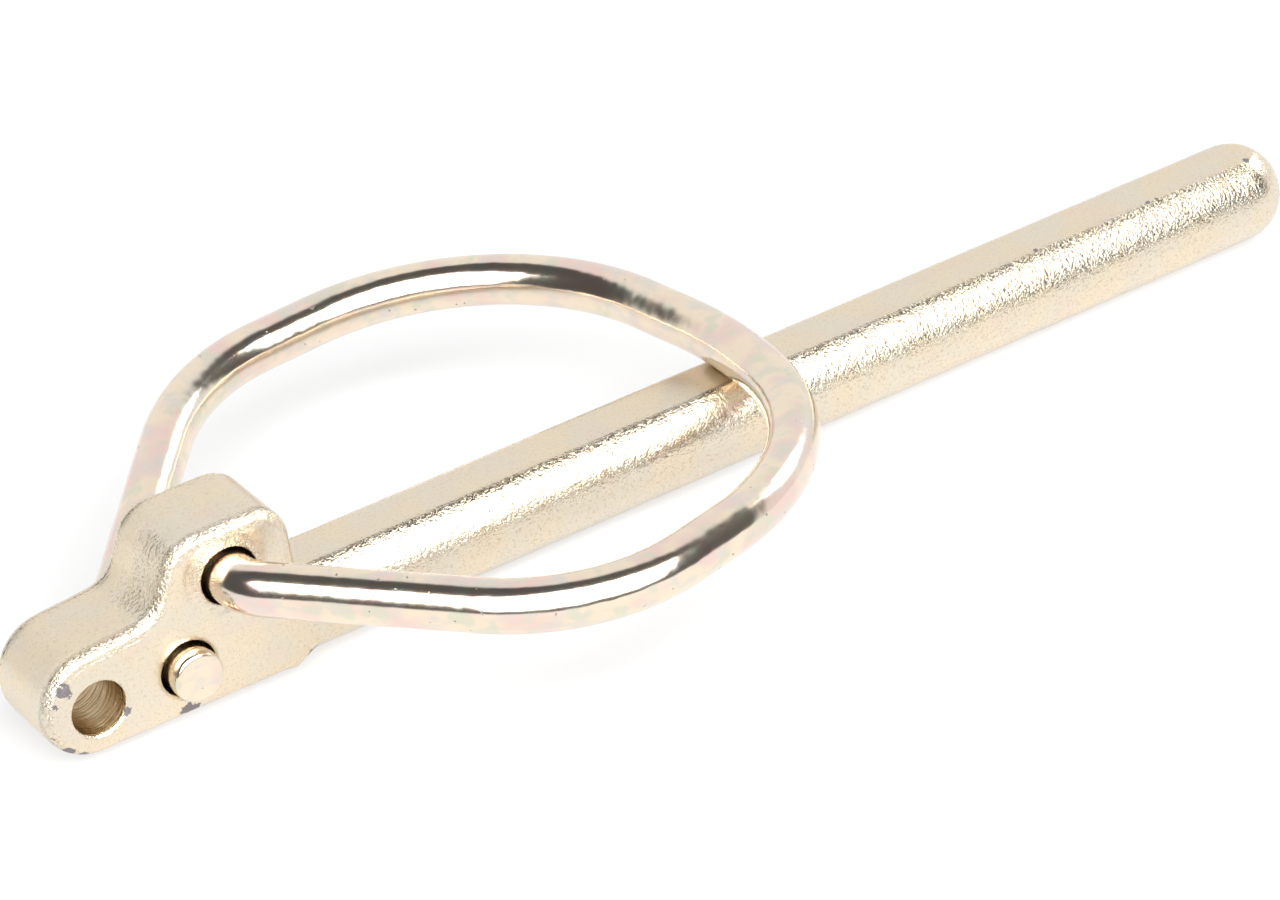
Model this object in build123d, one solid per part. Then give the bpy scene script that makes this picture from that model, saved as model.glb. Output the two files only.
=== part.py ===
from build123d import *
import math
import os

# Wire lock pin: a forged steel pin with an eyed head, and a spring-wire ring that locks it.
# Frame: X runs along the shank from the head to the tip, Z is up in the plane of the head,
# and the origin is on the shank's axis at the head's shoulder. Millimetres.

# Shank
SHANK_D = 12.0
SHANK_LENGTH = 138.0                # shoulder to the end of the rounded tip
SHANK_ROOT = 1.2                    # how far the round shank runs into the head
TOP_BAND_HALF_ANGLE = 25.0          # half the arc that the upper trimming band takes off
BOTTOM_BAND_HALF_ANGLE = 18.0       # the same for the lower band

# Head, a flat forging a little thicker than the shank
HEAD_THICKNESS = 12.4
HEAD_LEFT = -32.1                   # the lanyard end
HEAD_BOTTOM = -5.0
HEAD_TOP_AT_EYE = 7.2
HEAD_TOP_AT_STEP = 8.4
STEP_X = -18.0                      # where the low end steps up to the bump
CREST_X = -14.8
BUMP_TOP = 16.0
SHOULDER_TOP_X = -0.9
SHOULDER_FOOT_X = 0.3
STEP_R = 4.0
BUMP_CORNER_R = 4.5
SHOULDER_CHAMFER = 2.2
HEAD_EDGE_ROUND = 1.9

# Cross holes, each as its x and z
EYE = (-25.9, 0.9)                  # lanyard hole
EYE_D = 6.3
UPPER_BORE = (-8.6, 9.9)            # takes the ring's front leg
LOWER_BORE = (-15.0, 1.0)           # takes the ring's rear leg
BORE_D = 6.5
MOUTH_BREAK = 0.4

# Spring-wire ring, as the corners that its centreline rounds
WIRE_D = 5.9
WIRE_PLAY = (0.12, -0.12)           # how far the wire sits off the bores' axes, x and z
WIRE_STUB = 2.0                     # each end stands this far out of the far face
WIRE_END_BREAK = 0.4
SEAT_GAP = 0.05                     # the closed ring just clears the upper band
FRONT_BEND_Y = -8.7
REAR_BEND_Y = 10.4
FRONT_KNEE = (18.1, -36.5, 8.6)
REAR_KNEE = (9.1, 36.0, 7.7)
FRONT_SHOULDER = (57.8, -26.9)
FAR_POINT = (59.4, 2.1)
REAR_SHOULDER = (52.7, 39.2)
BEND_R = 5.0
KNEE_RS = (22.8, 25.4)              # front and rear
LOOP_RS = (28.4, 43.7, 28.8)        # front shoulder, far arc, rear shoulder

shank_r = SHANK_D / 2
wire_r = WIRE_D / 2
half_head = HEAD_THICKNESS / 2
top_band_z = shank_r * math.cos(math.radians(TOP_BAND_HALF_ANGLE))
bottom_band_z = -shank_r * math.cos(math.radians(BOTTOM_BAND_HALF_ANGLE))


def corner_of(face, x, z):
    """The outline's corner nearest to a point of the head's plane."""
    return face.vertices().sort_by_distance(Vector(x, z, 0))[0]


def head_blank():
    """The head's outline, thick along Y, with the rims of both flat faces rounded."""
    outline = make_face(Polyline(
        (SHOULDER_FOOT_X, HEAD_BOTTOM),
        (HEAD_LEFT, HEAD_BOTTOM),
        (HEAD_LEFT, HEAD_TOP_AT_EYE),
        (STEP_X, HEAD_TOP_AT_STEP),
        (CREST_X, BUMP_TOP),
        (SHOULDER_TOP_X, BUMP_TOP),
        close=True,
    ))
    end_r = (HEAD_TOP_AT_EYE - HEAD_BOTTOM) / 2 - 0.05
    outline = fillet(corner_of(outline, HEAD_LEFT, HEAD_BOTTOM), end_r)
    outline = fillet(corner_of(outline, HEAD_LEFT, HEAD_TOP_AT_EYE), end_r)
    outline = fillet(corner_of(outline, STEP_X, HEAD_TOP_AT_STEP), STEP_R)
    outline = fillet(corner_of(outline, CREST_X, BUMP_TOP), BUMP_CORNER_R)
    outline = fillet(corner_of(outline, SHOULDER_TOP_X, BUMP_TOP), BUMP_CORNER_R)
    outline = chamfer(corner_of(outline, SHOULDER_FOOT_X, HEAD_BOTTOM), SHOULDER_CHAMFER)
    blank = extrude(Plane.XZ * outline, half_head, both=True)
    faces = blank.faces().sort_by(Axis.Y)
    return fillet(faces[0].edges() + faces[-1].edges(), HEAD_EDGE_ROUND)


def shank():
    """The round shank with its domed tip, trimmed flat along its top and bottom."""
    straight = SHANK_LENGTH - shank_r + SHANK_ROOT
    rod = Pos(-SHANK_ROOT, 0, 0) * Rot(0, 90, 0) * Cylinder(
        shank_r, straight, align=(Align.CENTER, Align.CENTER, Align.MIN))
    rod += Pos(SHANK_LENGTH - shank_r, 0, 0) * Sphere(shank_r)
    keep = Box(2 * SHANK_LENGTH, SHANK_D, top_band_z - bottom_band_z,
               align=(Align.MIN, Align.CENTER, Align.CENTER))
    return rod & Pos(-SHANK_ROOT, 0, (top_band_z + bottom_band_z) / 2) * keep


def cross_hole(center, diameter):
    """A drilling through the head along Y, its mouths broken by a small bevel."""
    drill = Cylinder(diameter / 2, 4 * half_head)
    flare = Cone(diameter / 2, diameter / 2 + 2 * MOUTH_BREAK, 2 * MOUTH_BREAK)
    drill += Pos(0, 0, half_head) * flare
    drill += Pos(0, 0, -half_head) * Rot(180, 0, 0) * flare
    return Pos(center[0], 0, center[1]) * Rot(90, 0, 0) * drill


def pin_body():
    """Head and shank, one forging with three cross holes."""
    body = head_blank() + shank()
    body -= cross_hole(EYE, EYE_D)
    body -= cross_hole(UPPER_BORE, BORE_D)
    body -= cross_hole(LOWER_BORE, BORE_D)
    return body


def wire_ring():
    """One length of spring wire, swept along straight runs joined by tangent arcs."""
    upper = (UPPER_BORE[0] + WIRE_PLAY[0], UPPER_BORE[1] + WIRE_PLAY[1])
    lower = (LOWER_BORE[0] + WIRE_PLAY[0], LOWER_BORE[1] + WIRE_PLAY[1])
    end_y = half_head + WIRE_STUB
    seat_z = top_band_z + wire_r + SEAT_GAP
    path = FilletPolyline(
        (upper[0], end_y, upper[1]),
        (upper[0], FRONT_BEND_Y, upper[1]),
        FRONT_KNEE,
        (*FRONT_SHOULDER, seat_z),
        (*FAR_POINT, seat_z),
        (*REAR_SHOULDER, seat_z),
        REAR_KNEE,
        (lower[0], REAR_BEND_Y, lower[1]),
        (lower[0], -end_y, lower[1]),
        radius=[BEND_R, KNEE_RS[0], *LOOP_RS, KNEE_RS[1], BEND_R],
    )
    section = Plane(path @ 0, z_dir=path % 0) * Circle(wire_r)
    wire = sweep(section, path)
    ends = wire.faces().filter_by(GeomType.PLANE)
    expected = math.pi * wire_r ** 2 * path.length
    print("wire length", round(path.length, 1), "volume", round(wire.volume), "of", round(expected))
    print("flat ends", len(ends))
    return chamfer(ends.edges(), WIRE_END_BREAK)


os.makedirs("parts", exist_ok=True)
export_step(pin_body(), "parts/pin_body.step")
export_step(wire_ring(), "parts/wire_ring.step")
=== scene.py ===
# %% [markdown]
# # A wire lock pin: forged pin, spring-wire ring
# The real thing has two pieces. The pin is a drop forging: a thick flat head with three cross
# holes, and a long round shank. The ring is one length of polished spring wire. Both are zinc
# plated with a pale yellow passivation, so the whole object is one metal seen in two textures:
# grainy where the forging die left it, and glassy on the drawn wire.

import math
import bpy
import numpy as np
from mathutils import Matrix, Vector


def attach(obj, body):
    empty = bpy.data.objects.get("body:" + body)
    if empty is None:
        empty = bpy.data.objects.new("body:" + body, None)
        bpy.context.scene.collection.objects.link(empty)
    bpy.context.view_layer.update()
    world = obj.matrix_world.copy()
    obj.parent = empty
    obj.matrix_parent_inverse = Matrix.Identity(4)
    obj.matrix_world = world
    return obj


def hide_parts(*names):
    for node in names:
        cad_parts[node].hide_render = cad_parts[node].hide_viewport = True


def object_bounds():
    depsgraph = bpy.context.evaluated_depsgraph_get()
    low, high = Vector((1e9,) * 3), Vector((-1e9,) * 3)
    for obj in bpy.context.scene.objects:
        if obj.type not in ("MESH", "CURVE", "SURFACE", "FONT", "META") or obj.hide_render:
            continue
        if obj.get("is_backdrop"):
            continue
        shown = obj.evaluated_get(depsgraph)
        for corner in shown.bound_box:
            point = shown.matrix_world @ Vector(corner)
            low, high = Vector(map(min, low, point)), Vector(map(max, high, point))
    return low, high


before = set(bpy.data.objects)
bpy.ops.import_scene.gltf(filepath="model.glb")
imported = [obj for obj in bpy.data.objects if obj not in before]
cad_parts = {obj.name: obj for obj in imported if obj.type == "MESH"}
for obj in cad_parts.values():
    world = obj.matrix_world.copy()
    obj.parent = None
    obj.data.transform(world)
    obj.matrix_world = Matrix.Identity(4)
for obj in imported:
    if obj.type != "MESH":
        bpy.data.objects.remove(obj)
MM = 0.001
cad_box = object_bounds()
floor_z = cad_box[0][2]
print("the model spans", [[round(v, 4) for v in corner] for corner in cad_box])

# %% [markdown]
# ## Camera
# A long lens keeps the shank's edges almost parallel. The camera stands to the front left of the
# head, about half a metre away, looks down by 32 degrees, and leans 6 degrees, which is what makes
# the shank climb to the right. Its place is worked out from those angles, because a turn, a height
# and a lean are easier to read and to change than a position and a quaternion.

# %% Place the camera
TURN, HEIGHT, LEAN = (math.radians(v) for v in (-30.82, 31.64, -5.95))
DISTANCE, ASIDE, ABOVE = 535.1 * MM, 38.5 * MM, 16.3 * MM
LENS, SENSOR = 139.25, 36.0


def camera_axes(turn, height, lean):
    """Right, up and back of a camera: back points from the object to the camera, right is level,
    and both right and up are then turned by the lean about back."""
    back = Vector((math.sin(turn) * math.cos(height), -math.cos(turn) * math.cos(height), math.sin(height)))
    level = Vector((math.cos(turn), math.sin(turn), 0.0))
    upright = back.cross(level)
    right = level * math.cos(lean) + upright * math.sin(lean)
    return right, back.cross(right), back


right, up, back = camera_axes(TURN, HEIGHT, LEAN)
camera = bpy.data.objects.new("camera", bpy.data.cameras.new("camera"))
bpy.context.scene.collection.objects.link(camera)
camera.matrix_world = Matrix((right, up, back)).transposed().to_4x4()
camera.location = back * DISTANCE + right * ASIDE + up * ABOVE
camera.data.lens = LENS
camera.data.sensor_width = SENSOR
camera.data.clip_start = 0.02
bpy.context.scene.camera = camera
print("camera at", [round(v, 3) for v in camera.location])

# %% [markdown]
# ## Shader maths as expressions
# A finish is a formula over the surface: how rough here, how golden there. Node by node such a
# formula is slow to read, so a number in a shader is wrapped in a small class, and ordinary
# operators on it add the Math nodes. `1 - mask` then means what it says.

# %% Numbers of a shader


class Number:
    """One number of a shader. Operators on it add Math nodes and give a new Number."""

    def __init__(self, finish, socket):
        self.finish = finish
        self.socket = socket

    def math(self, operation, *values):
        """The result of one Math node on the values."""
        return Number(self.finish, self.finish.node("ShaderNodeMath", {"operation": operation},
                                                    dict(enumerate(values)))[0])

    def __add__(self, other):
        return self.math("ADD", self, other)

    def __radd__(self, other):
        return self.math("ADD", other, self)

    def __sub__(self, other):
        return self.math("SUBTRACT", self, other)

    def __rsub__(self, other):
        return self.math("SUBTRACT", other, self)

    def __mul__(self, other):
        return self.math("MULTIPLY", self, other)

    def __rmul__(self, other):
        return self.math("MULTIPLY", other, self)

    def most(self, other):
        return self.math("MAXIMUM", self, other)

    def least(self, other):
        return self.math("MINIMUM", self, other)

    def ramp(self, low, high):
        """0 below low, 1 above high, and an even S curve between; low may be above high."""
        settings = {"interpolation_type": "SMOOTHSTEP"}
        return Number(self.finish, self.finish.node("ShaderNodeMapRange", settings, {
            "Value": self, "From Min": low, "From Max": high, "To Min": 0.0, "To Max": 1.0})[0])


class Finish:
    """A node tree of a material or of the world, filled by expressions."""

    def __init__(self, tree):
        self.tree = tree
        tree.nodes.clear()

    def node(self, kind, settings, values):
        """Adds any node: its settings first, then its sockets' values or links, by name or place."""
        made = self.tree.nodes.new(kind)
        for name, value in settings.items():
            setattr(made, name, value)
        for name, value in values.items():
            value = value.socket if isinstance(value, Number) else value
            if isinstance(value, bpy.types.NodeSocket):
                self.tree.links.new(value, made.inputs[name])
            else:
                made.inputs[name].default_value = value
        return made.outputs

    def number(self, socket):
        """A socket as a Number, so that it can stand in an expression."""
        return Number(self, socket)

    def noise(self, where, scale, detail=2.0, roughness=0.5):
        """Soft noise from 0 to 1 around 0.5; scale is in lumps per unit of where."""
        return self.number(self.node("ShaderNodeTexNoise", {}, {
            "Vector": where, "Scale": scale, "Detail": detail, "Roughness": roughness})["Fac"])

    def mix(self, share, first, second):
        """A colour from first to second as share goes from 0 to 1."""
        return self.node("ShaderNodeMix", {"data_type": "RGBA"}, {0: share, 6: first, 7: second})[2]

    def stretch(self, where, factors):
        """A vector times another, component by component."""
        return self.node("ShaderNodeVectorMath", {"operation": "MULTIPLY"}, {0: where, 1: factors})[0]


def new_material(name):
    """A material with an empty node tree, and the finish that fills it."""
    material = bpy.data.materials.new(name)
    material.use_nodes = True
    return material, Finish(material.node_tree)


def rgb(red, green, blue):
    """A colour written as it looks, 0 to 255, as the linear light that shaders count in."""
    shares = (np.array([red, green, blue]) / 255 + 0.055) / 1.055
    return (*(float(v) for v in shares ** 2.4), 1.0)


print("a mid beige in linear light is", [round(v, 3) for v in rgb(214, 205, 184)])

# %% [markdown]
# ## The studio
# Polished metal shows the room and nothing else, so the room is designed first. A white sheet
# lies under the pin and rises straight behind it, and the rest of the room is dark. One broad soft
# box hangs over the camera, and a small one stands to the right. The white sheet makes the beige
# planes, the boxes the white bands, and the dark room the thin lines between them. The room is drawn
# in the world's colour, because a smooth sky has no seams to catch in the wire. The camera and the
# reflections see sheet and floor as plain white, while their light on the pin is dimmer.

# %% Room and sheet
ROOM_DARK = 0.10
SHEET_LIT = 0.4
SHEET_SLOPE = 1.9                   # the white sheet rises to about 62 degrees, straight behind
SHEET_TURNS_UP = 0.05               # how far in front of the pin it starts to rise
SHEET_EDGE = (0.20, -0.12)          # its soft upper edge, from dark to white
world = bpy.data.worlds.new("studio")
bpy.context.scene.world = world
world.use_nodes = True
room = Finish(world.node_tree)
direction = room.node("ShaderNodeTexCoord", {}, {})["Generated"]
parts = room.node("ShaderNodeSeparateXYZ", {}, {0: direction})
behind = room.number(parts["Y"]) * math.cos(TURN) - room.number(parts["X"]) * math.sin(TURN)
sheet = (room.number(parts["Z"]) - (behind + SHEET_TURNS_UP) * SHEET_SLOPE).ramp(*SHEET_EDGE)
rays = room.node("ShaderNodeLightPath", {}, {})
seen = room.number(rays["Is Camera Ray"]).most(room.number(rays["Is Transmission Ray"]))
seen = seen.most(room.number(rays["Is Glossy Ray"]) * sheet)
level = ROOM_DARK + sheet * (SHEET_LIT - ROOM_DARK)
level = level + seen * (1.0 - level)
sky = room.node("ShaderNodeBackground", {}, {"Color": (1.0, 1.0, 1.0, 1.0), "Strength": level})[0]
room.node("ShaderNodeOutputWorld", {}, {"Surface": sky})

SHEET_HALF = 3.0
PAPER_GREY = 0.80
PAPER_GLOW = 0.6                    # how much of the floor's own white is seen over its shadows
floor_mesh = bpy.data.meshes.new("floor")
corners = [(x, y, floor_z) for x, y in ((-1, -1), (1, -1), (1, 1), (-1, 1))]
floor_mesh.from_pydata([(x * SHEET_HALF, y * SHEET_HALF, z) for x, y, z in corners], [], [(0, 1, 2, 3)])
floor = bpy.data.objects.new("floor", floor_mesh)
bpy.context.scene.collection.objects.link(floor)
floor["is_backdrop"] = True
material, paper = new_material("white_paper")
rays = paper.node("ShaderNodeLightPath", {}, {})
seen = paper.number(rays["Is Camera Ray"]).most(paper.number(rays["Is Glossy Ray"]))
seen = seen.most(paper.number(rays["Is Transmission Ray"]))
lit = paper.node("ShaderNodeBsdfDiffuse", {}, {"Color": (PAPER_GREY, PAPER_GREY, PAPER_GREY, 1.0)})[0]
white = paper.node("ShaderNodeEmission", {}, {"Color": (1.0, 1.0, 1.0, 1.0), "Strength": 1.0})[0]
both = paper.node("ShaderNodeMixShader", {}, {0: seen * PAPER_GLOW, 1: lit, 2: white})[0]
paper.node("ShaderNodeOutputMaterial", {}, {"Surface": both})
floor_mesh.materials.append(material)


BOXES_FACE = Vector((0.04, 0.0, 0.0))
BOX_DISTANCE = 0.8


def soft_box(name, toward, length, width, watts):
    """An area lamp that faces the ring's middle from the direction toward, with its width level."""
    lamp = bpy.data.lights.new(name, "AREA")
    lamp.shape = "RECTANGLE"
    lamp.size, lamp.size_y = width, length
    lamp.energy = watts
    box = bpy.data.objects.new(name, lamp)
    bpy.context.scene.collection.objects.link(box)
    face = Vector(toward).normalized()
    side = Vector((0.0, 0.0, 1.0)).cross(face).normalized()
    box.matrix_world = Matrix((side, face.cross(side), face)).transposed().to_4x4()
    box.location = BOXES_FACE + face * BOX_DISTANCE


soft_box("main_box", (-0.175, -0.70, 0.69), 0.92, 1.44, 22.0)
soft_box("right_box", (0.86, 0.05, 0.51), 0.28, 0.34, 1.2)
bpy.context.scene.view_settings.view_transform = "Standard"
print("the sheet lies at", round(floor_z / MM, 2), "mm")

# %% [markdown]
# ## The ring's path
# The ring is wire bent round a few pegs: straight runs joined by arcs that touch both runs. Its front
# leg leaves the upper bore, and its rear leg the lower one, so the two legs cross in height and the
# loop is a little twisted, as the real one is. The path is laid out from its corners, and each corner
# is rounded by its own radius.

# %% Lay out the path
WIRE_R = 2.95
SHANK_R = 6.0
BAND_TOP = SHANK_R * math.cos(math.radians(25))
SEAT_GAP = 0.05
SEAT = BAND_TOP + WIRE_R + SEAT_GAP
UPPER = (-8.48, 9.78)
LOWER = (-14.88, 0.88)
END_Y = 8.2
CORNERS = np.array([
    (UPPER[0], END_Y, UPPER[1]),
    (UPPER[0], -8.7, UPPER[1]),
    (18.1, -36.5, 8.6),
    (57.8, -26.9, SEAT),
    (59.4, 2.1, SEAT),
    (52.7, 39.2, SEAT),
    (9.1, 36.0, 7.7),
    (LOWER[0], 10.4, LOWER[1]),
    (LOWER[0], -END_Y, LOWER[1]),
])
RADII = (5.0, 22.8, 28.4, 43.7, 28.8, 25.4, 5.0)


def bent_path(corners, radii, step):
    """Points along straight runs joined by tangent arcs, about a step apart. At a corner of turning
    angle t and radius r, the arc starts r tan(t/2) before the corner, on a circle whose centre is
    r / cos(t/2) from it."""
    pieces = [corners[:1]]
    for before, corner, after, radius in zip(corners, corners[1:], corners[2:], radii):
        arrive = (corner - before) / np.linalg.norm(corner - before)
        leave = (after - corner) / np.linalg.norm(after - corner)
        turn = math.acos(float(arrive @ leave))
        start = corner - arrive * radius * math.tan(turn / 2)
        inward = (leave - arrive * math.cos(turn)) / math.sin(turn)
        share = np.linspace(0.0, turn, max(3, round(radius * turn / step)))[:, None]
        last = pieces[-1][-1]
        run = np.linspace(0.0, 1.0, max(2, round(float(np.linalg.norm(start - last)) / step)))[1:-1, None]
        pieces.append(last + (start - last) * run)
        pieces.append(start + radius * (arrive * np.sin(share) + inward * (1 - np.cos(share))))
    last = pieces[-1][-1]
    run = np.linspace(0.0, 1.0, max(2, round(float(np.linalg.norm(corners[-1] - last)) / step)))[1:, None]
    pieces.append(last + (corners[-1] - last) * run)
    return np.concatenate(pieces)


PATH_STEP = 0.55
path = bent_path(CORNERS, RADII, PATH_STEP)
length = float(np.linalg.norm(np.diff(path, axis=0), axis=1).sum())
print(len(path), "points on a wire", round(length, 1), "mm long")

# %% [markdown]
# ## The wire
# A round profile is carried along the path. Two side vectors have to go with it, and they must not
# spin about the path: each is the last one with its part along the new direction taken off. At each
# end the profile draws in for a small broken edge and closes on a flat face, as the cropping tool
# leaves it.

# %% Carry the profile along


def side_vectors(points):
    """Directions of a path, and two sides square to it that follow it without spin."""
    ahead = np.gradient(points, axis=0)
    ahead /= np.linalg.norm(ahead, axis=1)[:, None]
    side = np.cross(ahead[0], (0.0, 0.0, 1.0))
    sides = []
    for forward in ahead:
        side = side - forward * (side @ forward)
        side = side / np.linalg.norm(side)
        sides.append(side)
    sides = np.array(sides)
    return ahead, sides, np.cross(ahead, sides)


def grid_faces(rows, columns):
    """Quads of a grid whose columns close on themselves: row i, column j joins row i + 1, column j + 1."""
    row, column = np.meshgrid(np.arange(rows - 1), np.arange(columns), indexing="ij")
    after = (column + 1) % columns
    quads = np.stack([row * columns + column, row * columns + after,
                      (row + 1) * columns + after, (row + 1) * columns + column], axis=-1)
    return quads.reshape(-1, 4)


def mesh_of(name, points, quads, caps=()):
    """A smooth mesh in metres from points in millimetres, with extra polygons as caps."""
    mesh = bpy.data.meshes.new(name)
    sizes = np.concatenate([np.full(len(quads), 4), [len(cap) for cap in caps]]).astype(np.int32)
    loops = np.concatenate([quads.reshape(-1), *caps]).astype(np.int32)
    mesh.vertices.add(len(points))
    mesh.vertices.foreach_set("co", (points * MM).astype(np.float32).reshape(-1))
    mesh.loops.add(len(loops))
    mesh.loops.foreach_set("vertex_index", loops)
    mesh.polygons.add(len(sizes))
    mesh.polygons.foreach_set("loop_start", np.concatenate([[0], np.cumsum(sizes)[:-1]]).astype(np.int32))
    mesh.polygons.foreach_set("use_smooth", np.ones(len(sizes), bool))
    mesh.update(calc_edges=True)
    mesh.validate()
    piece = bpy.data.objects.new(name, mesh)
    bpy.context.scene.collection.objects.link(piece)
    return piece


AROUND = 72
ahead, first_side, second_side = side_vectors(path)
end_steps = np.array([0.0, 0.0, 0.0, 0.12, 0.28])
end_radii = np.array([0.35, 0.75, 0.86, 0.93, 0.975]) * WIRE_R
ENDS = len(end_steps)
ring_points = np.concatenate([
    path[0] + ahead[0] * end_steps[:, None], path[2:-2], path[-1] - ahead[-1] * end_steps[::-1, None]])
ring_radii = np.concatenate([end_radii, np.full(len(path) - 4, WIRE_R), end_radii[::-1]])
spread = [np.concatenate([np.repeat(v[:1], ENDS, 0), v[2:-2], np.repeat(v[-1:], ENDS, 0)])
          for v in (first_side, second_side)]
angle = np.linspace(0.0, 2 * math.pi, AROUND, endpoint=False)
circle = (spread[0][:, None] * np.cos(angle)[:, None] + spread[1][:, None] * np.sin(angle)[:, None])
surface = ring_points[:, None] + ring_radii[:, None, None] * circle
quads = grid_faces(len(ring_points), AROUND)
first_cap = np.arange(AROUND)[::-1]
last_cap = (len(ring_points) - 1) * AROUND + np.arange(AROUND)
wire = mesh_of("ring_wire", surface.reshape(-1, 3), quads, (first_cap, last_cap))
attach(wire, "ring")
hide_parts("wire_ring")
print("wire:", len(wire.data.polygons), "faces")

# %% [markdown]
# ## The forging
# A forging has no sharp edge: the die gives every rim a radius, the head flows into the shank, and the
# drilled holes get a broken mouth. Adding up separate surfaces would leave seams at each of those. So
# the pin is written as one distance field, a function that tells for any point how far outside the
# metal it is. Fields blend by formula, and the surface is where the field is zero.

# %% Helpers for distance fields


def blend_out(a, b, width):
    """The larger of two fields, rounded off over a width where they meet: both must hold."""
    share = np.clip(1 - np.abs(a - b) / width, 0.0, 1.0)
    return np.maximum(a, b) + share ** 2 * width / 4


def blend_in(a, b, width):
    """The smaller of two fields, with a fillet over a width where they meet: either may hold."""
    return -blend_out(-a, -b, width)


def outline_distance(points, outline):
    """Signed distance from points of a plane to a closed outline, below zero inside. The nearest point
    of each segment is a clipped projection, and crossings of a ray tell inside from outside."""
    start, end = outline, np.roll(outline, -1, axis=0)
    run = end - start
    offset = points[:, None] - start
    share = np.clip((offset * run).sum(-1) / (run ** 2).sum(-1), 0.0, 1.0)
    gap = np.linalg.norm(offset - share[..., None] * run, axis=-1).min(1)
    rises = (start[:, 1] > points[:, None, 1]) != (end[:, 1] > points[:, None, 1])
    reach = start[:, 0] + (points[:, None, 1] - start[:, 1]) * run[:, 0] / (run[:, 1] + 1e-12)
    inside = (rises & (points[:, None, 0] < reach)).sum(1) % 2 == 1
    return np.where(inside, -gap, gap)


def lumps(x, y, z, wavelength, seed, count=14):
    """Soft lumps around zero: the mean of plane waves in random directions."""
    draw = np.random.default_rng(seed)
    waves = draw.normal(size=(count, 3))
    waves *= 2 * math.pi / (wavelength * np.linalg.norm(waves, axis=1)[:, None])
    phases = draw.uniform(0, 2 * math.pi, count)
    total = 0.0
    for (a, b, c), phase in zip(waves, phases):
        total = total + np.sin(a * x + b * y + c * z + phase)
    return total / math.sqrt(count)


# %% [markdown]
# ## The head's outline
# The head's outline is a polygon with rounded corners, laid out as the die sinker would: a round lanyard
# end, a step up to the bump that holds the upper bore, and a shoulder down to the shank. The same arcs
# as in the wire's path round its corners.

# %% The head's outline
SHANK_END = 138.0
SHANK_ROOT = -1.2                   # where the shank starts, inside the head
BAND_ROUND, ROOT_FILLET = 0.25, 2.4
BAND_BOTTOM = -SHANK_R * math.cos(math.radians(18))
HALF_HEAD, RIM = 6.2, 1.9
OUTLINE = np.array([
    (0.3, -2.7), (-1.9, -5.0), (-32.1, -5.0), (-32.1, 7.2), (-18.0, 8.4), (-14.8, 16.0), (-0.9, 16.0)])
OUTLINE_RADII = (0.5, 0.6, 6.05, 6.05, 4.0, 4.5, 4.5)


def rounded_outline(corners, radii):
    """The closed outline of a polygon in x and z with its corners rounded."""
    flat = np.insert(corners, 1, 0.0, axis=1)
    middle = (flat[-1] + flat[0]) / 2
    loop = bent_path(np.concatenate([[middle], flat, [middle]]), radii, 0.4)
    return loop[:-1][:, (0, 2)]


outline = rounded_outline(OUTLINE, OUTLINE_RADII)
print("the head's outline has", len(outline), "points")

# %% [markdown]
# ## The field of head and shank
# Near a rounded rim the head's distance is that of a corner, the root of the two squared distances. The
# shank is a rod with a ball for its tip, cut flat above and below. The two are joined with a fillet. The
# outline's distance is only worked out near the head, because it is the slow part.

# %% Fill a block of space with the field
PITCH = 0.32
HEAD_REACH = 8.0                    # beyond this there is no head to measure to
axes = [np.arange(low, high, PITCH) for low, high in ((-33.0, 139.0), (-7.0, 7.0), (-7.0, 17.1))]
x, y, z = np.meshgrid(*axes, indexing="ij", sparse=True)
flat = np.stack(np.broadcast_arrays(x[:, 0], z[0, 0][None, :]), axis=-1).reshape(-1, 2)
near = flat[:, 0] < HEAD_REACH
head_plan = np.full(len(flat), HEAD_REACH)
head_plan[near] = outline_distance(flat[near], outline)
head_plan = head_plan.reshape(len(axes[0]), 1, len(axes[2]))
across = np.abs(y) - HALF_HEAD
in_plan, in_depth = head_plan + RIM, across + RIM
head = np.hypot(np.maximum(in_plan, 0), np.maximum(in_depth, 0))
head = head + np.minimum(np.maximum(in_plan, in_depth), 0) - RIM
tip = np.maximum(x - (SHANK_END - SHANK_R), 0)
shank = np.sqrt(y ** 2 + z ** 2 + tip ** 2) - SHANK_R
bands = np.maximum(z - BAND_TOP, BAND_BOTTOM - z)
shank = blend_out(np.maximum(shank, SHANK_ROOT - x), bands, BAND_ROUND)
metal = blend_in(head, shank, ROOT_FILLET)
print("field of", metal.size, "points")

# %% [markdown]
# ## Holes and unevenness
# The three cross holes are taken out with a small rounding, which is their broken mouth. Round the
# upper bore the face is pressed in a little, on the side where the ring's leg leans. Then the whole
# skin gets the slow unevenness of hot metal, a few hundredths of a millimetre, always inwards.

# %% Drill, press and roughen
HOLES = {"eye": (-25.9, 0.9, 3.15), "upper_bore": (-8.6, 9.9, 3.25), "lower_bore": (-15.0, 1.0, 3.25)}
DIMPLE_X, DIMPLE_Z, DIMPLE_R, DIMPLE_EDGE, DIMPLE_DEPTH = -9.3, 10.7, 5.2, 1.2, 0.30
MOUTH_ROUND = 0.5
dimple = np.sqrt((x - DIMPLE_X) ** 2 + (z - DIMPLE_Z) ** 2)
pressed = DIMPLE_DEPTH * np.clip((DIMPLE_R - dimple) / DIMPLE_EDGE, 0, 1) * (y < 0)
metal = np.maximum(metal, across + pressed)
metal = np.maximum(metal, BAND_BOTTOM - z)
for hole_x, hole_z, hole_r in HOLES.values():
    bore = np.sqrt((x - hole_x) ** 2 + (z - hole_z) ** 2) - hole_r
    metal = blend_out(metal, -bore, MOUTH_ROUND)
unevenness = 0.0
for depth, wavelength, seed in ((0.020, 4.0, 4), (0.012, 1.5, 9)):
    unevenness = unevenness + depth * (1 + lumps(x, y, z, wavelength, seed) * 0.5)
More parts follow.
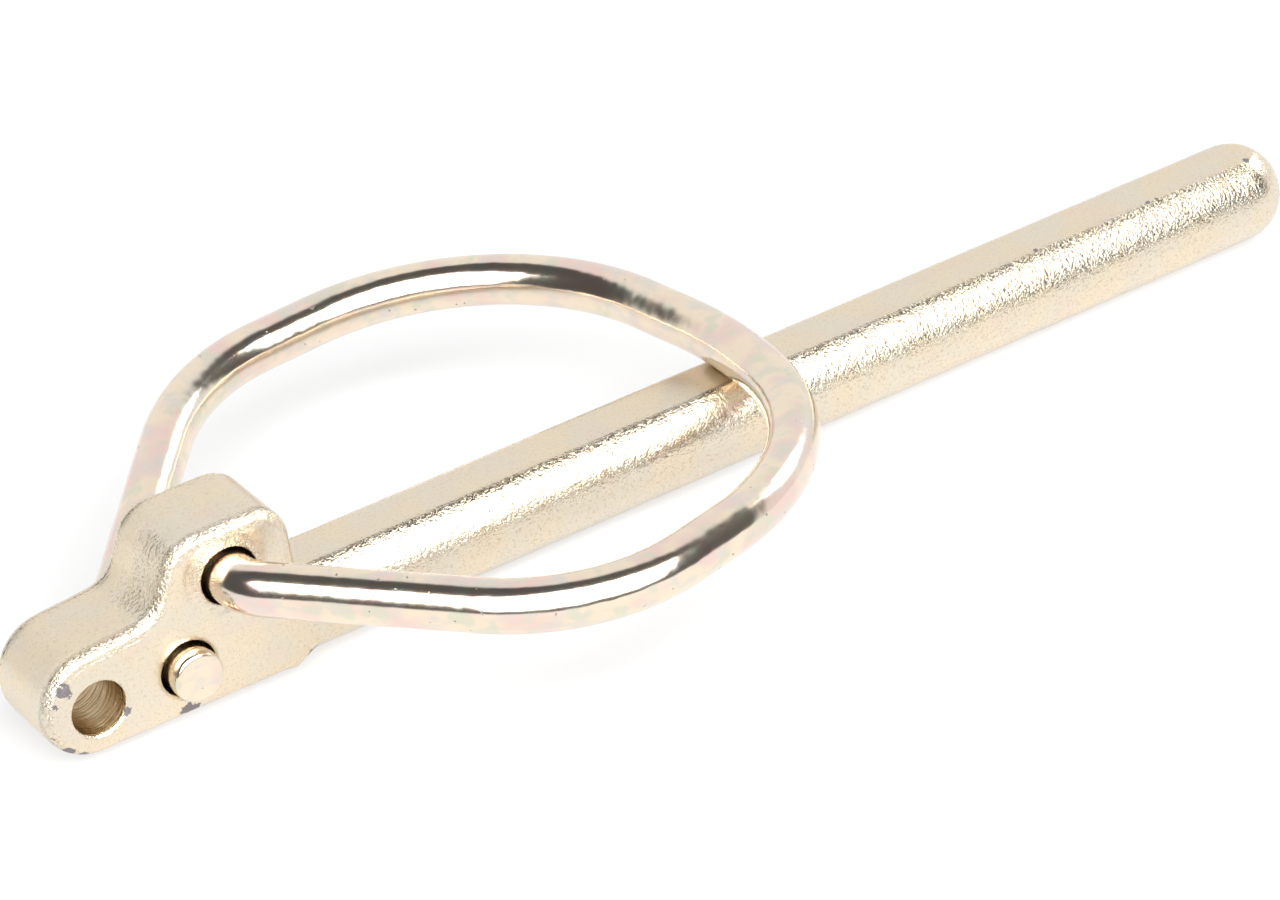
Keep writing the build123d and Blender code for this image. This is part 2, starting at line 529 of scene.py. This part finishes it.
metal = metal + np.clip(unevenness, 0.0, 0.08)
print("metal fills", round(float((metal < 0).sum()) * PITCH ** 3 / 1000, 2), "cubic centimetres")

# %% [markdown]
# ## The skin
# The surface is drawn through the field cell by cell. Each cell that the surface crosses gets one
# vertex, at the mean of the points where the cell's edges cross zero. Each crossed edge of the block
# gets a quad through the four cells round it. It is all done on whole arrays.

# %% Draw the surface through the field


def skin(field, origin, pitch):
    """Vertices and outward quads of the surface where a field on a block of points is zero. On an edge
    with the values a and b at its ends, the crossing is at the share a / (a - b)."""
    shape = np.array(field.shape) - 1
    total = np.zeros((*shape, 3))
    count = np.zeros(shape)
    steps = np.eye(3, dtype=int)
    for axis in range(3):
        u, v = (axis + 1) % 3, (axis + 2) % 3
        for at_u in (0, 1):
            for at_v in (0, 1):
                corner = steps[u] * at_u + steps[v] * at_v
                cut = [slice(c, c + n) for c, n in zip(corner, shape)]
                end = [slice(c, c + n) for c, n in zip(corner + steps[axis], shape)]
                near_value, far_value = field[tuple(cut)], field[tuple(end)]
                crossed = (near_value < 0) != (far_value < 0)
                share = np.where(crossed, near_value / np.where(crossed, near_value - far_value, 1.0), 0.0)
                total += crossed[..., None] * (corner + steps[axis] * share[..., None])
                count += crossed
    used = count > 0
    number = np.full(shape, -1)
    number[used] = np.arange(used.sum())
    points = (np.argwhere(used) + total[used] / count[used][:, None]) * pitch + origin
    quads = []
    for axis in range(3):
        u, v = (axis + 1) % 3, (axis + 2) % 3
        inside = field < 0
        low = [slice(1, n) for n in shape]
        low[axis] = slice(0, shape[axis])
        high = list(low)
        high[axis] = slice(1, shape[axis] + 1)
        here, there = inside[tuple(low)], inside[tuple(high)]
        for mask, order in ((here & ~there, 1), (~here & there, -1)):
            cell = np.argwhere(mask) + np.array([0 if k == axis else 1 for k in range(3)])
            ring = [cell - steps[u] - steps[v], cell - steps[v], cell, cell - steps[u]]
            quads.append(np.stack([number[tuple(c.T)] for c in ring[::order]], axis=1))
    return points, np.concatenate(quads)


pin_points, pin_quads = skin(metal, np.array([a[0] for a in axes]), PITCH)
pin = mesh_of("pin_forging", pin_points, pin_quads)
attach(pin, "pin")
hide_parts("pin_body")
print("pin:", len(pin.data.polygons), "faces")

# %% [markdown]
# ## Where the finish changes
# The trimming tool has wiped the top and bottom of the shank and the middle of the head's side, so
# those are smooth, while the rounded rims keep the grain of the die. The bores are drilled. Each is a
# mask on the vertices, so that the finish follows the metal.

# %% Masks on the pin


def soft_step(value, low, high):
    """0 below low, 1 above high, an S curve between."""
    share = np.clip((value - low) / (high - low), 0, 1)
    return share * share * (3 - 2 * share)


def add_mask(piece, name, values):
    """Keeps one number per vertex under a name, for the finish to read."""
    layer = piece.data.attributes.new(name, "FLOAT", "POINT")
    layer.data.foreach_set("value", values.astype(np.float32))


px, py, pz = pin_points.T
on_shank = soft_step(px, -0.5, 1.5)
trim_shank = np.maximum(soft_step(pz, BAND_TOP - 0.22, BAND_TOP - 0.10),
                        soft_step(-pz, -BAND_BOTTOM - 0.22, -BAND_BOTTOM - 0.10))
trim_head = soft_step(-np.abs(py), -4.6, -3.6)
trimmed = on_shank * trim_shank + (1 - on_shank) * trim_head
face = (1 - on_shank) * soft_step(np.abs(py), 5.75, 6.05)
step = soft_step(px, -20.5, -18.5) * soft_step(-px, 13.2, 14.6) * soft_step(-py, -3.5, 0.5)
trimmed = trimmed * (1 - 0.8 * step)
rim = (1 - on_shank) * np.maximum(soft_step(np.abs(py), 4.2, 4.9), 0.6 * step) * (1 - face)
border = on_shank * np.exp(-((np.hypot(py, pz) - SHANK_R) / 0.16) ** 2)
border = border * np.exp(-((np.abs(pz) - (BAND_TOP - 0.15)) / 0.30) ** 2)
drilled = np.zeros(len(px))
for hole_x, hole_z, hole_r in HOLES.values():
    drilled = np.maximum(drilled, soft_step(hole_r + 0.12 - np.hypot(px - hole_x, pz - hole_z), 0.0, 0.12))
zones = {"trimmed": trimmed, "face": face, "rim": rim, "drilled": drilled, "border": border}
for name, values in zones.items():
    add_mask(pin, name, values)
print("trimmed share", round(float(trimmed.mean()), 3), "drilled share", round(float(drilled.mean()), 3))

# %% [markdown]
# Where the plating has chipped, the dark steel shows: along the head's left corner, at the rim of the
# lanyard hole, on the lower edge, and in a few spots on the line beside the shank's upper band. Each
# chip is a soft ball round a point; the finish breaks its edge up with noise.

# %% Chips
CHIPS = (
    ((-29.4, -5.6, 4.6), 1.1), ((-30.6, -5.3, 3.0), 0.8), ((-31.0, -5.2, 1.4), 0.55),
    ((-31.0, -5.2, -0.8), 0.55), ((-29.9, -5.4, -2.9), 0.9), ((-28.4, -5.6, -4.1), 0.7),
    ((-23.0, -6.2, -0.8), 0.7), ((-16.0, -6.0, -3.7), 0.9), ((-15.0, -6.0, -3.9), 0.7),
    ((-0.4, -5.2, -3.4), 1.1), ((-17.0, 4.6, 14.4), 1.3), ((-15.8, 5.2, 15.0), 1.0),
    ((101.0, -2.6, 5.4), 0.42), ((117.6, -2.6, 5.4), 0.40), ((118.9, -2.6, 5.4), 0.32),
    ((121.0, -2.6, 5.4), 0.26), ((132.6, -2.5, 5.2), 0.50), ((112.0, -2.6, 5.4), 0.22),
)
chipped = np.zeros(len(px))
for (cx, cy, cz), reach in CHIPS:
    gap = np.sqrt((px - cx) ** 2 + (py - cy) ** 2 + (pz - cz) ** 2)
    chipped = np.maximum(chipped, np.clip(1.5 - gap / reach, 0, 1))
add_mask(pin, "chipped", chipped)
print(len(CHIPS), "chips")

# %% [markdown]
# ## The forged finish
# Zinc with a yellow passivation is a beige mirror over the steel's own texture. The grain is real relief, so
# it goes into the bump: two sizes of lumps and a finer grain, while a scatter of darker pits is in the
# colour.
# Trimmed bands are smooth with faint streaks along the cut; the holes have rings from the drill, and their
# walls are painted darker and more golden, as painted shade of the recess. Colour drifts slowly between
# straw and a cooler grey, and each chip is dark, rough and less metallic.

# %% Finish of the pin
STRAW, COOL, PINK = rgb(232, 217, 192), rgb(227, 217, 199), rgb(230, 211, 196)
# The first of these colours is painted shade: it makes the walls of the bores darker and more golden than
# the faces.
BORE_PAINTED_SHADE, PIT, SOOT = rgb(196, 170, 124), rgb(168, 148, 112), rgb(120, 115, 116)
material, skin_of = new_material("plated_forging")
coords = skin_of.node("ShaderNodeTexCoord", {}, {})["Object"]
where = skin_of.stretch(coords, (1000.0, 1000.0, 1000.0))
masks = {name: skin_of.number(skin_of.node("ShaderNodeAttribute", {"attribute_name": name}, {})["Fac"])
         for name in (*zones, "chipped")}
coarse = skin_of.noise(where, 1.15, 2.0)
grain = skin_of.noise(where, 2.6, 2.5, 0.6)
fine = skin_of.noise(where, 7.0, 1.5)
streaks = skin_of.noise(skin_of.stretch(where, (0.12, 1.6, 1.6)), 1.4, 2.0)
rings = skin_of.noise(skin_of.stretch(where, (0.15, 3.0, 0.15)), 1.0, 2.0)
wild = (1 - masks["trimmed"]).most(masks["border"]) * (1 - masks["drilled"]) * (1 - 0.6 * masks["face"])
wild = wild * (1 + masks["rim"] * 1.8)
# Heights of relief are in millimetres; the bump's distance turns them into metres.
relief = (coarse * 0.06 + grain * 0.075 + fine * 0.015) * wild + grain * 0.016 + fine * 0.006
relief = relief + streaks * masks["trimmed"] * 0.02 + rings * masks["drilled"] * 0.30
ragged = masks["chipped"] + (grain - 0.5) * 1.3 + (coarse - 0.5) * 0.7
chip = ragged.ramp(0.60, 0.75) * masks["chipped"].ramp(0.05, 0.3)
relief = relief - chip * 0.05 + chip * fine * 0.04
bump = skin_of.node("ShaderNodeBump", {}, {"Strength": 1.0, "Distance": MM, "Height": relief})[0]
drift = skin_of.noise(where, 0.16, 2.0)
colour = skin_of.mix(drift.ramp(0.38, 0.62), STRAW, COOL)
blush = skin_of.noise(skin_of.stretch(where, (0.6, 1.0, 1.0)), 0.35, 1.0).ramp(0.50, 0.75)
colour = skin_of.mix(blush * 0.5, colour, PINK)
pits = (fine + grain).ramp(0.96, 0.74)
colour = skin_of.mix(pits * (0.26 + 0.10 * wild), colour, PIT)
# Painted shade: inside the bores the colour is made darker and more golden, as if shaded in the recess.
colour = skin_of.mix(masks["drilled"] * 0.85, colour, BORE_PAINTED_SHADE)
colour = skin_of.mix(chip, colour, SOOT)
rough = 0.16 + masks["trimmed"] * 0.14 + masks["face"] * 0.12 + (drift - 0.5) * 0.1 + chip * 0.2
shader = skin_of.node("ShaderNodeBsdfPrincipled", {}, {
    "Base Color": colour, "Metallic": 1 - chip * 0.35, "Roughness": rough, "Normal": bump})[0]
skin_of.node("ShaderNodeOutputMaterial", {}, {"Surface": shader})
pin.data.materials.append(material)
print("forged finish:", len(material.node_tree.nodes), "nodes")

# %% [markdown]
# ## The wire's finish
# Drawn wire is far smoother than the forging, so the same plating is nearly a mirror and shows its
# rainbow film: pale pink, cream, pearl and a trace of green in soft patches. Drawing leaves a slow ripple,
# a very fine grain and a few dark specks.

# %% Finish of the ring
CREAM, ROSE = rgb(238, 222, 200), rgb(233, 208, 198)
MINT, PEARL = rgb(217, 215, 195), rgb(220, 213, 205)
material, drawn = new_material("plated_wire")
coords = drawn.node("ShaderNodeTexCoord", {}, {})["Object"]
where = drawn.stretch(coords, (1000.0, 1000.0, 1000.0))
slow = drawn.noise(where, 0.16, 1.5)
film = drawn.noise(where, 0.34, 2.0)
cloud = drawn.noise(drawn.stretch(where, (0.5, 0.5, 1.0)), 0.55, 2.5)
hair = drawn.noise(where, 9.0, 1.0)
specks = drawn.noise(where, 1.1, 1.0).ramp(0.745, 0.775)
ripple = drawn.noise(where, 0.45, 1.0)
colour = drawn.mix(slow.ramp(0.42, 0.60), CREAM, ROSE)
colour = drawn.mix(film.ramp(0.50, 0.66) * 0.8, colour, MINT)
colour = drawn.mix(cloud.ramp(0.48, 0.68) * 0.7, colour, PEARL)
colour = drawn.mix(specks * 0.7, colour, SOOT)
relief = ripple * 0.05 + hair * 0.0012 - specks * 0.01
bump = drawn.node("ShaderNodeBump", {}, {"Strength": 1.0, "Distance": MM, "Height": relief})[0]
rough = 0.10 + film * 0.07 + hair * 0.04 + specks * 0.3
shader = drawn.node("ShaderNodeBsdfPrincipled", {}, {
    "Base Color": colour, "Metallic": 1.0, "Roughness": rough, "Normal": bump})[0]
drawn.node("ShaderNodeOutputMaterial", {}, {"Surface": shader})
wire.data.materials.append(material)
print("wire finish:", len(material.node_tree.nodes), "nodes")

# %% [markdown]
# ## Check the size
# The pieces must fill the same box as the model they stand for.

# %% Sizes
shown_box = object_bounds()
excess = (np.array(shown_box) - np.array(cad_box)) / MM
print("shown less model, mm:", excess.round(2).tolist())
